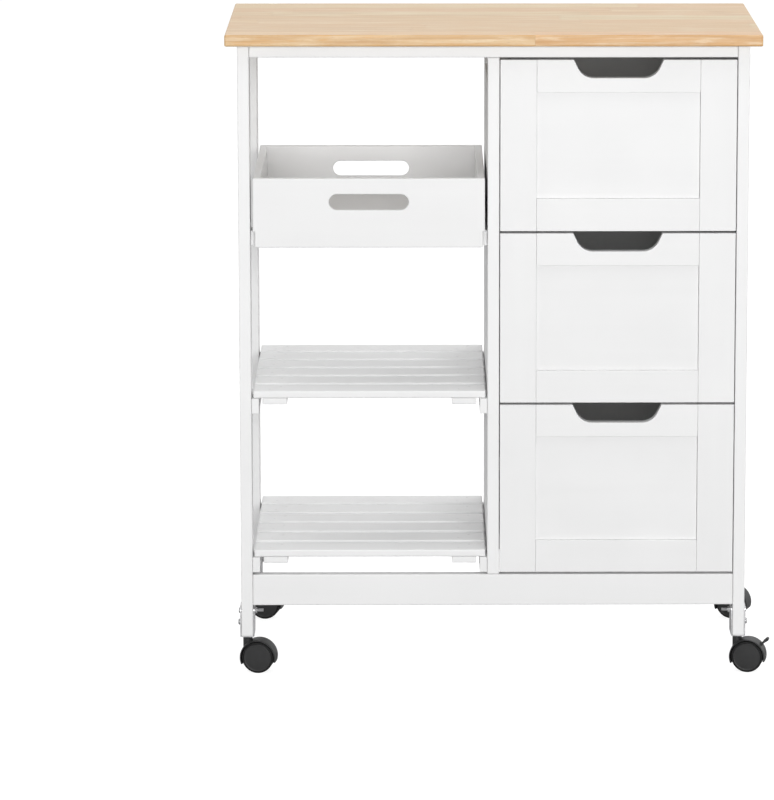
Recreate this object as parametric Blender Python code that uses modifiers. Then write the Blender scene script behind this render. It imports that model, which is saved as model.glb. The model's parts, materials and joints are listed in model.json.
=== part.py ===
"""A kitchen island cart on four twin-wheel casters, as an assembly of separate pieces.

Metres, +Z up, the front faces -Y. The origin is on the floor under the middle of the whole
cart's box, its brake pedal included. A wooden top lies on a frame of thin painted sticks. The
left bay is open and holds a lift-out tray and two slatted shelves, and the right bay holds
three drawers. Run it with: blender --background --python part.py
"""

import math

import bmesh
import bpy
from mathutils import Matrix, Vector

# Driving dimensions of the whole cart
TOP_WIDTH = 0.670
TOP_DEPTH = 0.370
TOP_THICK = 0.015
CART_HEIGHT = 0.820
OVERHANG = 0.015
CASTER_HEIGHT = 0.050
CART_X = -0.0092  # half of what the front right brake pedal adds to the cart's width

# Frame sticks
STICK = 0.015
LEG_DEPTH = 0.040
RAIL_HEIGHT = 0.040
BOTTOM_RAIL_Z = 0.0905
DIVIDER_TOP = 0.747
BACK_PANEL_THICK = 0.005
BACK_PANEL_INSET = 0.005

# Clearances and edge rounding
FIT = 0.00015  # taken off every side of a board, so two neighbours stand 0.3 mm apart
EDGE = 0.0008
TOP_EDGE = 0.0020
WELD = 0.000001  # points nearer than this are one

# Left bay: cleats, tray and shelves
CLEAT_WIDTH = 0.0095
CLEAT_HEIGHT = 0.0195
TRAY_SEAT = 0.571
TRAY_WIDTH = 0.291
TRAY_DEPTH = 0.3125
TRAY_HEIGHT = 0.067
TRAY_APRON = 0.0205
TRAY_NOTCH = 0.0025
TRAY_WALL = 0.0095
TRAY_FRONT_THICK = 0.010
TRAY_FLOOR = 0.0055
SLOT_LENGTH = 0.100
SLOT_HEIGHT = 0.020
SLOT_DROP = 0.020
SHELF_SEATS = {"middle": 0.3577, "lower": 0.1527}
SLAT_LENGTH = 0.293
SLAT_WIDTH = 0.044
SLAT_THICK = 0.0093
SLAT_PITCH = 0.058
SLAT_COUNT = 6
BATTEN_WIDTH = 0.031
BATTEN_THICK = 0.008
BATTEN_INSET = 0.0115
BATTEN_HOUSING = 0.0005  # how far a batten is let into the slats

# Right bay: drawers and runners
DRAWER_GAP = 0.0029
DRAWER_SIDE_GAP = 0.0025
FRONT_THICK = 0.015
STILE = 0.044
DRAWER_RAIL = 0.041
PANEL_RECESS = 0.004
GRIP_WIDTH = 0.111
GRIP_DEPTH = 0.023
GRIP_SLOPE = math.radians(68)
GRIP_RADIUS = 0.022
BOX_WIDTH = 0.291
BOX_DEPTH = 0.290
BOX_WALL = 0.012
BOX_BASE = 0.009
BOX_FLOOR = 0.005
BOX_TOP = 0.186
RUNNER_HEIGHT = 0.017
RUNNER_WIDTH = 0.0083
RUNNER_DROP = 0.079  # from a drawer front's top edge down to the runner's middle
GROOVE_CLEARANCE = 0.0004

# Casters
TRAIL = 0.014
WHEEL_RADIUS = 0.020
WHEEL_INNER = 0.0036
WHEEL_OUTER = 0.0116
WHEEL_DISC = 0.0150
WHEEL_RIM = 0.0158
RIM_BEVEL = 0.0015
TREAD_ROUND = 0.0012
AXLE_RADIUS = 0.0020
HOOD_INNER = 0.0209
HOOD_OUTER = 0.0225
HOOD_WIDTH = 0.024
HOOD_FIRST = math.radians(-16)
HOOD_LAST = math.radians(204)
WEB_THICK = 0.005
NECK_RADIUS = 0.0060
NECK_TOP = 0.0467
BORE_RADIUS = 0.0038
BORE_FLOOR = 0.0390
STEM_RADIUS = 0.0034
STEM_SHANK = 0.0040
STEM_COLLAR = 0.0065
STEM_TOP = 0.0720
SHANK_BORE = 0.0043
SHANK_BORE_TOP = 0.0730
BRACKET_PLATE = 0.0015
BRACKET_DEPTH = 0.034
BRACKET_TOP = 0.088
PEDAL_ANGLE = math.radians(42)
PEDAL_PIVOT = 0.0222
PEDAL_LENGTH = 0.0135
PEDAL_WIDTH = 0.0080
PEDAL_BARREL = 0.0015
PEDAL_TIP = 0.0018
PEDAL_SLOT = 0.0026  # half the slot that the barrel turns in, along the hood's radius
PEDAL_SLOT_SIDE = 0.0024  # half of it round the hood
CASTER_TURNS = {
    "front_left": 8,
    "front_right": 12,
    "rear_left": 10,
    "rear_right": 20,
}
BRAKED = ("front_right", "rear_left")

# What follows from them
FRAME_WIDTH = TOP_WIDTH - 2 * OVERHANG
FRAME_TOP = CART_HEIGHT - TOP_THICK
FRONT_Y = -TOP_DEPTH / 2 + OVERHANG
BACK_Y = TOP_DEPTH / 2 - OVERHANG
SIDE_X = FRAME_WIDTH / 2
LEG_IN_X = SIDE_X - STICK
POST_X = STICK / 2
BAY_WIDTH = LEG_IN_X - POST_X
BAY_X = (LEG_IN_X + POST_X) / 2
BOTTOM_RAIL_TOP = BOTTOM_RAIL_Z + RAIL_HEIGHT
TOP_RAIL_Z = FRAME_TOP - STICK
REAR_RAIL_Z = FRAME_TOP - RAIL_HEIGHT
DRAWER_PITCH = (TOP_RAIL_Z - BOTTOM_RAIL_TOP - DRAWER_GAP) / 3
FRONT_HEIGHT = DRAWER_PITCH - DRAWER_GAP
FRONT_WIDTH = BAY_WIDTH - 2 * DRAWER_SIDE_GAP
LEG_CENTRE_X = SIDE_X - STICK / 2
LEG_CENTRE_Y = BACK_Y - LEG_DEPTH / 2
SIDES = (("left", -1), ("right", 1))
ENDS = (("front", -1), ("rear", 1))


def clear_scene():
    for obj in list(bpy.data.objects):
        bpy.data.objects.remove(obj, do_unlink=True)


def new_collection(name):
    collection = bpy.data.collections.new(name)
    bpy.context.scene.collection.children.link(collection)
    return collection


def finish(name, colour, roughness, metallic=0.0):
    """A Principled material of one colour."""
    material = bpy.data.materials.new(name)
    material.use_nodes = True
    shader = material.node_tree.nodes["Principled BSDF"]
    shader.inputs["Base Color"].default_value = (*colour, 1.0)
    shader.inputs["Roughness"].default_value = roughness
    shader.inputs["Metallic"].default_value = metallic
    return material


clear_scene()
PARTS = new_collection("kitchen_island_cart")
CUTTERS = new_collection("cutters")
FINISHES = {
    "rubberwood": finish("rubberwood", (0.73, 0.53, 0.32), 0.45),
    "frame_paint": finish("frame_paint", (0.84, 0.84, 0.84), 0.42),
    "drawer_paint": finish("drawer_paint", (0.87, 0.87, 0.87), 0.40),
    "tray_paint": finish("tray_paint", (0.86, 0.86, 0.86), 0.42),
    "shelf_paint": finish("shelf_paint", (0.85, 0.85, 0.85), 0.44),
    "drawer_interior": finish("drawer_interior", (0.62, 0.62, 0.61), 0.60),
    "zinc_steel": finish("zinc_steel", (0.66, 0.66, 0.67), 0.38, 1.0),
    "stem_steel": finish("stem_steel", (0.55, 0.55, 0.56), 0.30, 1.0),
    "black_nylon": finish("black_nylon", (0.022, 0.022, 0.023), 0.42),
    "wheel_nylon": finish("wheel_nylon", (0.035, 0.035, 0.036), 0.50),
}


def add_empty(name, location=(0, 0, 0), parent=None, turn=0.0):
    """An empty, turned about Z by turn radians, that others are placed from."""
    empty = bpy.data.objects.new(name, None)
    empty.empty_display_size = 0.02
    empty.location = location
    empty.rotation_euler = (0, 0, turn)
    empty.parent = parent
    PARTS.objects.link(empty)
    return empty


ROOT = add_empty("cart_origin", (CART_X, 0, 0))


def add_object(name, mesh, material=None, location=(0, 0, 0), parent=ROOT, rotation=(0, 0, 0)):
    """The mesh as an object in the parts, or in the cutters where it has no material."""
    obj = bpy.data.objects.new(name, mesh)
    obj.location = location
    obj.rotation_euler = rotation
    obj.parent = parent
    if material:
        if not mesh.materials:
            mesh.materials.append(FINISHES[material])
        PARTS.objects.link(obj)
    else:
        obj.hide_render = True
        obj.display_type = "WIRE"
        CUTTERS.objects.link(obj)
    return obj


def box_mesh(name, *spans):
    """One mesh of boxes, each given by its ((x, x), (y, y), (z, z)) span."""
    bm = bmesh.new()
    for span in spans:
        size = [high - low for low, high in span]
        centre = [(low + high) / 2 for low, high in span]
        place = Matrix.Translation(centre) @ Matrix.Diagonal((*size, 1))
        bmesh.ops.create_cube(bm, size=1.0, matrix=place)
    mesh = bpy.data.meshes.new(name)
    bm.to_mesh(mesh)
    bm.free()
    return mesh


def cylinder_mesh(name, radius, low, high, steps=24, axis="Z"):
    """A cylinder round the Z or Y axis, from low to high along it."""
    bm = bmesh.new()
    bmesh.ops.create_cone(
        bm,
        cap_ends=True,
        segments=steps,
        radius1=radius,
        radius2=radius,
        depth=high - low,
        matrix=Matrix.Translation((0, 0, (low + high) / 2)),
    )
    if axis == "Y":
        bmesh.ops.rotate(bm, verts=bm.verts, matrix=Matrix.Rotation(math.radians(-90), 3, "X"))
    mesh = bpy.data.meshes.new(name)
    bm.to_mesh(mesh)
    bm.free()
    return mesh


def extruded_mesh(name, outlines, thickness, upright=True):
    """A plate cut to the first outline, the others being holes in it.

    It is flat in XY and centred on Z = 0, or upright in XZ and centred on Y = 0.
    """
    curve = bpy.data.curves.new(name, "CURVE")
    curve.dimensions = "2D"
    curve.fill_mode = "BOTH"
    curve.extrude = thickness / 2
    for outline in outlines:
        spline = curve.splines.new("POLY")
        spline.points.add(len(outline) - 1)
        spline.use_cyclic_u = True
        for point, (across, along) in zip(spline.points, outline):
            point.co = (across, along, 0, 1)
    source = bpy.data.objects.new(name, curve)
    bpy.context.scene.collection.objects.link(source)
    graph = bpy.context.evaluated_depsgraph_get()
    mesh = bpy.data.meshes.new_from_object(source.evaluated_get(graph))
    bpy.data.objects.remove(source, do_unlink=True)
    bpy.data.curves.remove(curve)
    bm = bmesh.new()
    bm.from_mesh(mesh)
    bmesh.ops.remove_doubles(bm, verts=bm.verts, dist=WELD)
    bmesh.ops.recalc_face_normals(bm, faces=bm.faces)
    if upright:
        bmesh.ops.rotate(bm, verts=bm.verts, matrix=Matrix.Rotation(math.radians(90), 3, "X"))
    bm.to_mesh(mesh)
    bm.free()
    mesh.name = name
    mesh.materials.clear()
    return mesh


def turned_mesh(name, profile, steps):
    """The (radius, height) profile, given top to bottom, turned about Z."""
    mesh = bpy.data.meshes.new(name)
    points = [(radius, 0, height) for radius, height in profile]
    mesh.from_pydata(points, [(i, i + 1) for i in range(len(points) - 1)], [])
    source = bpy.data.objects.new(name, mesh)
    bpy.context.scene.collection.objects.link(source)
    screw = source.modifiers.new("turn", "SCREW")
    screw.steps = steps
    screw.render_steps = steps
    screw.use_merge_vertices = True
    screw.merge_threshold = WELD
    screw.use_smooth_shade = True
    return baked(source)


def baked(obj, helpers=()):
    """The object's mesh with its modifiers applied, the object and its helpers being removed."""
    graph = bpy.context.evaluated_depsgraph_get()
    mesh = bpy.data.meshes.new_from_object(obj.evaluated_get(graph))
    mesh.name = obj.name
    for used in (obj, *helpers):
        bpy.data.objects.remove(used, do_unlink=True)
    return mesh


def smooth(mesh, sharp_over=35):
    """Shades the mesh smooth, with its edges sharper than the angle left sharp."""
    mesh.shade_smooth()
    mesh.set_sharp_from_angle(angle=math.radians(sharp_over))
    return mesh


def round_edges(obj, width=EDGE, segments=1):
    bevel = obj.modifiers.new("edges", "BEVEL")
    bevel.width = width
    bevel.segments = segments
    bevel.limit_method = "ANGLE"
    bevel.angle_limit = math.radians(40)


def combine(obj, helper, operation):
    """Adds a Boolean modifier to the object: UNION or DIFFERENCE with the helper."""
    boolean = obj.modifiers.new(helper.name, "BOOLEAN")
    boolean.operation = operation
    boolean.object = helper
    boolean.solver = "EXACT"


def board(name, x, y, z, material, parent=ROOT, width=EDGE, segments=1):
    """A straight board that fills the spans x, y and z, less the fit on every side."""
    spans = (x, y, z)
    centre = Vector([(low + high) / 2 for low, high in spans])
    half = [(high - low) / 2 - FIT for low, high in spans]
    mesh = box_mesh(name, [(-size, size) for size in half])
    obj = add_object(name, mesh, material, centre, parent)
    round_edges(obj, width, segments)
    return obj


def arc(centre, radius, first, last, steps):
    """Points on a circle from the angle first to the angle last."""
    angles = [first + (last - first) * i / steps for i in range(steps + 1)]
    return [
        (centre[0] + radius * math.cos(a), centre[1] + radius * math.sin(a)) for a in angles
    ]


def stadium(length, height, centre_z, steps=10):
    """A slot outline with round ends, centred on x = 0."""
    radius = height / 2
    reach = length / 2 - radius
    right = arc((reach, centre_z), radius, -math.pi / 2, math.pi / 2, steps)
    left = arc((-reach, centre_z), radius, math.pi / 2, 3 * math.pi / 2, steps)
    return right + left


def make_top():
    board(
        "tabletop",
        (-TOP_WIDTH / 2 - FIT, TOP_WIDTH / 2 + FIT),
        (-TOP_DEPTH / 2 - FIT, TOP_DEPTH / 2 + FIT),
        (FRAME_TOP, CART_HEIGHT + FIT),
        "rubberwood",
        width=TOP_EDGE,
        segments=3,
    )


def make_legs():
    """Four legs, each bored from below for its caster's shank."""
    for side, x_sign in SIDES:
        for end, y_sign in ENDS:
            centre = (x_sign * LEG_CENTRE_X, y_sign * LEG_CENTRE_Y)
            leg = board(
                f"{end}_{side}_leg",
                (centre[0] - STICK / 2, centre[0] + STICK / 2),
                (centre[1] - LEG_DEPTH / 2, centre[1] + LEG_DEPTH / 2),
                (CASTER_HEIGHT, FRAME_TOP),
                "frame_paint",
            )
            drill = cylinder_mesh(
                f"{end}_{side}_leg_bore", SHANK_BORE, CASTER_HEIGHT - STICK, SHANK_BORE_TOP, 16
            )
            bore = add_object(drill.name, drill, location=(*centre, 0))
            combine(leg, bore, "DIFFERENCE")


def make_rails():
    between_legs = (-LEG_IN_X, LEG_IN_X)
    bottom_z = (BOTTOM_RAIL_Z, BOTTOM_RAIL_TOP)
    board(
        "front_top_rail",
        between_legs,
        (FRONT_Y, FRONT_Y + LEG_DEPTH),
        (TOP_RAIL_Z, FRAME_TOP),
        "frame_paint",
    )
    board(
        "front_bottom_rail", between_legs, (FRONT_Y, FRONT_Y + STICK), bottom_z, "frame_paint"
    )
    board(
        "rear_top_rail",
        between_legs,
        (BACK_Y - STICK, BACK_Y),
        (REAR_RAIL_Z, FRAME_TOP),
        "frame_paint",
    )
    board("rear_bottom_rail", between_legs, (BACK_Y - STICK, BACK_Y), bottom_z, "frame_paint")


def make_divider_and_panels():
    """The divider between the bays, and the right bay's side and back."""
    middle = (-POST_X, POST_X)
    between_posts = (FRONT_Y + LEG_DEPTH, BACK_Y - LEG_DEPTH)
    board(
        "divider_front_post",
        middle,
        (FRONT_Y, FRONT_Y + LEG_DEPTH),
        (BOTTOM_RAIL_TOP, TOP_RAIL_Z),
        "frame_paint",
    )
    board(
        "divider_rear_post",
        middle,
        (BACK_Y - LEG_DEPTH, BACK_Y),
        (BOTTOM_RAIL_TOP, REAR_RAIL_Z),
        "frame_paint",
    )
    board(
        "divider_panel", middle, between_posts, (BOTTOM_RAIL_Z, DIVIDER_TOP), "frame_paint"
    )
    board(
        "right_side_panel",
        (LEG_IN_X, SIDE_X),
        between_posts,
        (BOTTOM_RAIL_Z, FRAME_TOP),
        "frame_paint",
    )
    back = BACK_Y - BACK_PANEL_INSET
    board(
        "drawer_bay_back_panel",
        (POST_X, LEG_IN_X),
        (back - BACK_PANEL_THICK, back),
        (BOTTOM_RAIL_TOP, REAR_RAIL_Z),
        "drawer_interior",
        width=EDGE / 2,
    )


def make_cleats():
    """Six cleats that carry the tray and the shelves, from the front legs to the rear ones."""
    seats = {"tray": TRAY_SEAT, **{f"{name}_shelf": seat for name, seat in SHELF_SEATS.items()}}
    walls = {"left": -LEG_IN_X, "right": -POST_X}
    for use, seat in seats.items():
        first_y = FRONT_Y + TRAY_FRONT_THICK + 2 * FIT if use == "tray" else FRONT_Y
        for side, x_sign in SIDES:
            wall = walls[side]
            inner = wall - x_sign * CLEAT_WIDTH
            board(
                f"{use}_{side}_cleat",
                (min(wall, inner), max(wall, inner)),
                (first_y, BACK_Y),
                (seat - CLEAT_HEIGHT, seat),
                "frame_paint",
                width=EDGE / 2,
            )


def make_tray():
    """The lift-out tray, on an empty that slides with it. Its seat is at the empty's height."""
    slide = add_empty("tray_slide", (-BAY_X, FRONT_Y, TRAY_SEAT), ROOT)
    half = TRAY_WIDTH / 2
    wall_z = (TRAY_FLOOR, TRAY_HEIGHT)
    slot_z = TRAY_HEIGHT - SLOT_DROP - SLOT_HEIGHT / 2
    slot = stadium(SLOT_LENGTH, SLOT_HEIGHT, slot_z)
    low = half - TRAY_NOTCH
    front_outline = [
        (-low, -TRAY_APRON),
        (low, -TRAY_APRON),
        (low, 0),
        (half, 0),
        (half, TRAY_HEIGHT),
        (-half, TRAY_HEIGHT),
        (-half, 0),
        (-low, 0),
    ]
    front_mesh = extruded_mesh("tray_front", [front_outline, slot], TRAY_FRONT_THICK - FIT)
    front = add_object(
        "tray_front", front_mesh, "tray_paint", (0, TRAY_FRONT_THICK / 2, 0), slide
    )
    rear_outline = [
        (-half, TRAY_FLOOR + FIT),
        (half, TRAY_FLOOR + FIT),
        (half, TRAY_HEIGHT),
        (-half, TRAY_HEIGHT),
    ]
    rear_mesh = extruded_mesh("tray_rear", [rear_outline, slot], TRAY_WALL - FIT)
    rear = add_object(
        "tray_rear", rear_mesh, "tray_paint", (0, TRAY_DEPTH - TRAY_WALL / 2, 0), slide
    )
    for panel in (front, rear):
        round_edges(panel)
    for side, x_sign in SIDES:
        outer = x_sign * half
        inner = outer - x_sign * TRAY_WALL
        board(
            f"tray_{side}_side",
            (min(outer, inner), max(outer, inner)),
            (TRAY_FRONT_THICK, TRAY_DEPTH - TRAY_WALL),
            wall_z,
            "tray_paint",
            slide,
        )
    board(
        "tray_floor",
        (-half, half),
        (TRAY_FRONT_THICK, TRAY_DEPTH),
        (0, TRAY_FLOOR),
        "tray_paint",
        slide,
        width=EDGE / 2,
    )


def make_shelves():
    """Two shelves of slats, each nailed to two battens that are let into its underside."""
    half = SLAT_LENGTH / 2
    reach = SLAT_PITCH * (SLAT_COUNT - 1) / 2
    run = reach + SLAT_WIDTH / 2
    rows = [SLAT_PITCH * i - reach for i in range(SLAT_COUNT)]
    slats = [
        ((-half, half), (y - SLAT_WIDTH / 2, y + SLAT_WIDTH / 2), (2 * FIT, SLAT_THICK))
        for y in rows
    ]
    inner = half - BATTEN_INSET - BATTEN_WIDTH / 2
    battens = [
        (
            (x - BATTEN_WIDTH / 2, x + BATTEN_WIDTH / 2),
            (-run + BATTEN_HOUSING, run - BATTEN_HOUSING),
            (-BATTEN_THICK, 2 * FIT + BATTEN_HOUSING),
        )
        for x in (-inner, inner)
    ]
    for name, seat in SHELF_SEATS.items():
        location = (-BAY_X, 0, seat)
        shelf = add_object(
            f"{name}_shelf", box_mesh(f"{name}_shelf", *slats), "shelf_paint", location
        )
        round_edges(shelf)
        support = add_object(
            f"{name}_battens", box_mesh(f"{name}_battens", *battens), location=location
        )
        combine(shelf, support, "UNION")


def grip_outline():
    """The finger cut-out below z = 0: sloped sides that turn into a flat bottom."""
    half = GRIP_WIDTH / 2
    corner = half - GRIP_DEPTH / math.tan(GRIP_SLOPE)
    flat = corner - GRIP_RADIUS * math.tan(GRIP_SLOPE / 2)
    centre = (flat, GRIP_RADIUS - GRIP_DEPTH)
    right = [(half + GRIP_DEPTH / math.tan(GRIP_SLOPE), GRIP_DEPTH)]
    right += reversed(arc(centre, GRIP_RADIUS, -math.pi / 2, GRIP_SLOPE - math.pi / 2, 10))
    return right + [(-x, z) for x, z in reversed(right)]


def make_drawer(name, base_z):
    """One drawer on its slide empty, which stands at the foot of the drawer's front face."""
    slide = add_empty(f"{name}_slide", (BAY_X, FRONT_Y, base_z), ROOT)
    half = FRONT_WIDTH / 2
    front_mesh = box_mesh(
        f"{name}_front", ((-half, half), (0, FRONT_THICK - FIT), (0, FRONT_HEIGHT))
    )
    front = add_object(f"{name}_front", front_mesh, "drawer_paint", parent=slide)
    panel = box_mesh(
        f"{name}_recess",
        (
            (STILE - half, half - STILE),
            (-PANEL_RECESS, PANEL_RECESS),
            (DRAWER_RAIL, FRONT_HEIGHT - DRAWER_RAIL),
        ),
    )
    grip = extruded_mesh(f"{name}_grip", [grip_outline()], 4 * FRONT_THICK)
    combine(front, add_object(panel.name, panel, parent=slide), "DIFFERENCE")
    cutter = add_object(grip.name, grip, location=(0, 0, FRONT_HEIGHT), parent=slide)
    combine(front, cutter, "DIFFERENCE")
    round_edges(front, EDGE * 0.75)
    make_drawer_box(name, slide)


def make_drawer_box(name, slide):
    """The box behind a drawer's front: one U of sides and back, grooved for the runners."""
    outer = BOX_WIDTH / 2
    inner = outer - BOX_WALL
    first = FRONT_THICK + FIT
    last = first + BOX_DEPTH
    u_outline = [
        (-outer, first),
        (-inner, first),
        (-inner, last - BOX_WALL),
        (inner, last - BOX_WALL),
        (inner, first),
        (outer, first),
        (outer, last),
        (-outer, last),
    ]
    wall_low = BOX_BASE + BOX_FLOOR + 2 * FIT
    walls_mesh = extruded_mesh(f"{name}_box", [u_outline], BOX_TOP - wall_low, upright=False)
    middle = (BOX_TOP + wall_low) / 2
    walls = add_object(f"{name}_box", walls_mesh, "drawer_interior", (0, 0, middle), slide)
    groove_half = RUNNER_HEIGHT / 2 + GROOVE_CLEARANCE
    groove_x = BAY_WIDTH / 2 - RUNNER_WIDTH - GROOVE_CLEARANCE
    groove_z = FRONT_HEIGHT - RUNNER_DROP
    grooves = box_mesh(
        f"{name}_grooves",
        *(
            (
                (min(sign * groove_x, sign * BAY_X), max(sign * groove_x, sign * BAY_X)),
                (0, last + BOX_WALL),
                (groove_z - groove_half, groove_z + groove_half),
            )
            for _, sign in SIDES
        ),
    )
    combine(walls, add_object(grooves.name, grooves, parent=slide), "DIFFERENCE")
    board(
        f"{name}_floor",
        (-outer, outer),
        (FRONT_THICK, last),
        (BOX_BASE, BOX_BASE + BOX_FLOOR),
        "drawer_interior",
        slide,
        width=EDGE / 2,
    )


def make_drawers():
    """Three drawers, and the two runners that carry each."""
    for row, name in enumerate(("bottom_drawer", "middle_drawer", "top_drawer")):
        base_z = BOTTOM_RAIL_TOP + DRAWER_GAP + row * DRAWER_PITCH
        make_drawer(name, base_z)
        runner_z = base_z + FRONT_HEIGHT - RUNNER_DROP
        for side, x_sign in SIDES:
            wall = BAY_X + x_sign * BAY_WIDTH / 2
            inner = wall - x_sign * RUNNER_WIDTH
            board(
                f"{name}_{side}_runner",
                (min(wall, inner), max(wall, inner)),
                (FRONT_Y + FRONT_THICK + 2 * FIT, BACK_Y - RAIL_HEIGHT / 2),
                (runner_z - RUNNER_HEIGHT / 2, runner_z + RUNNER_HEIGHT / 2),
                "frame_paint",
                width=EDGE / 2,
            )


def bracket_mesh():
    """A bent steel strap: a base under the leg and a flange up either side of it."""
    reach = STICK / 2 + FIT + BRACKET_PLATE / 2
    base = CASTER_HEIGHT - FIT - BRACKET_PLATE / 2
    half = BRACKET_DEPTH / 2
    corners = [(-reach, BRACKET_TOP), (-reach, base), (reach, base), (reach, BRACKET_TOP)]
    bm = bmesh.new()
    verts = [bm.verts.new((x, -half, z)) for x, z in corners]
    edges = [bm.edges.new(pair) for pair in zip(verts, verts[1:])]
    swept = bmesh.ops.extrude_edge_only(bm, edges=edges)["geom"]
    moved = [item for item in swept if isinstance(item, bmesh.types.BMVert)]
    bmesh.ops.translate(bm, verts=moved, vec=(0, 2 * half, 0))
    bmesh.ops.recalc_face_normals(bm, faces=bm.faces)
    mesh = bpy.data.meshes.new("caster_bracket")
    bm.to_mesh(mesh)
    bm.free()
    strap = add_object("caster_bracket", mesh, "zinc_steel", parent=None)
    shell = strap.modifiers.new("plate", "SOLIDIFY")
    shell.thickness = BRACKET_PLATE
    shell.offset = 0
    shell.use_even_offset = True
    drill = cylinder_mesh("bracket_hole", SHANK_BORE, base - STICK, base + STICK, 16)
    hole = add_object(drill.name, drill, parent=None)
    combine(strap, hole, "DIFFERENCE")
    return baked(strap, (hole,))


def stem_mesh():
    """The fixed kingpin: a shank up into the leg, a collar, and a pin down into the neck."""
    collar_top = CASTER_HEIGHT - FIT - BRACKET_PLATE - 2 * FIT
    collar_low = NECK_TOP + 2 * FIT
    pin_low = BORE_FLOOR + 3 * FIT
    profile = [
        (0, STEM_TOP),
        (STEM_SHANK - EDGE, STEM_TOP),
        (STEM_SHANK, STEM_TOP - EDGE),
        (STEM_SHANK, collar_top),
        (STEM_COLLAR, collar_top),
        (STEM_COLLAR, collar_low),
        (STEM_RADIUS, collar_low),
        (STEM_RADIUS, pin_low),
        (0, pin_low),
    ]
    return smooth(turned_mesh("caster_stem", profile, 16))


def wheelset_mesh():
    """Two wheels on one axle, turned in one profile and then laid along Y."""
    half = [
        (0, WHEEL_OUTER - EDGE),
        (WHEEL_DISC, WHEEL_OUTER - EDGE),
        (WHEEL_RIM, WHEEL_OUTER),
        (WHEEL_RADIUS - RIM_BEVEL, WHEEL_OUTER),
        (WHEEL_RADIUS, WHEEL_OUTER - TREAD_ROUND),
        (WHEEL_RADIUS, WHEEL_INNER + TREAD_ROUND),
        (WHEEL_RADIUS - TREAD_ROUND, WHEEL_INNER),
        (AXLE_RADIUS, WHEEL_INNER),
    ]
    profile = half + [(radius, -height) for radius, height in reversed(half)]
    mesh = turned_mesh("caster_wheels", profile, 32)
    mesh.transform(Matrix.Rotation(math.radians(90), 4, "X"))
    return smooth(mesh)


def housing_mesh(braked):
    """A caster's hood, web and neck. Its origin is on the kingpin's axis, on the floor."""
    outline = arc((0, 0), HOOD_OUTER, HOOD_FIRST, HOOD_LAST, 30)
    outline += [(-3 * AXLE_RADIUS, -3 * AXLE_RADIUS), (3 * AXLE_RADIUS, -3 * AXLE_RADIUS)]
    body_mesh = extruded_mesh("caster_housing", [outline], HOOD_WIDTH)
    body_mesh.transform(Matrix.Translation((TRAIL, 0, WHEEL_RADIUS)))
    body = add_object("caster_housing", body_mesh, "black_nylon", parent=None)
    axle = Matrix.Translation((TRAIL, 0, WHEEL_RADIUS))
    neck_low = WHEEL_RADIUS + HOOD_OUTER / 2
    neck = cylinder_mesh("caster_neck", NECK_RADIUS, neck_low, NECK_TOP, 24)
    pockets = cylinder_mesh(
        "wheel_pocket", HOOD_INNER, WEB_THICK / 2, HOOD_WIDTH, 48, axis="Y"
    )
    pockets.transform(axle)
    far_pocket = cylinder_mesh(
        "far_wheel_pocket", HOOD_INNER, -HOOD_WIDTH, -WEB_THICK / 2, 48, axis="Y"
    )
    far_pocket.transform(axle)
    bore = cylinder_mesh("neck_bore", BORE_RADIUS, BORE_FLOOR, CASTER_HEIGHT, 24)
    axle_hole = cylinder_mesh(
        "axle_hole", AXLE_RADIUS + 2 * FIT, -HOOD_WIDTH, HOOD_WIDTH, 24, axis="Y"
    )
    axle_hole.transform(axle)
    steps = [
        (neck, "UNION"),
        (pockets, "DIFFERENCE"),
        (far_pocket, "DIFFERENCE"),
        (bore, "DIFFERENCE"),
        (axle_hole, "DIFFERENCE"),
    ]
    if braked:
        slot = box_mesh(
            "pedal_slot",
            (
                (PEDAL_PIVOT - PEDAL_SLOT, PEDAL_PIVOT + PEDAL_SLOT),
                (-PEDAL_WIDTH / 2 - 3 * FIT, PEDAL_WIDTH / 2 + 3 * FIT),
                (-PEDAL_SLOT_SIDE, PEDAL_SLOT_SIDE),
            ),
        )
        slot.transform(axle @ Matrix.Rotation(-PEDAL_ANGLE, 4, "Y"))
        steps.append((slot, "DIFFERENCE"))
    helpers = [add_object(mesh.name, mesh, parent=None) for mesh, _ in steps]
    for helper, (_, operation) in zip(helpers, steps):
        combine(body, helper, operation)
    return smooth(baked(body, helpers))


def pedal_mesh():
    """A brake pedal, flat along +X from its barrel, which turns about Y."""
    barrel = arc((0, 0), PEDAL_BARREL, math.radians(45), math.radians(315), 12)
    tip_x = PEDAL_LENGTH - PEDAL_TIP
    tip = arc((tip_x, 0), PEDAL_TIP, math.radians(-80), math.radians(80), 8)
    return smooth(extruded_mesh("brake_pedal", [barrel + tip], PEDAL_WIDTH))


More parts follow.
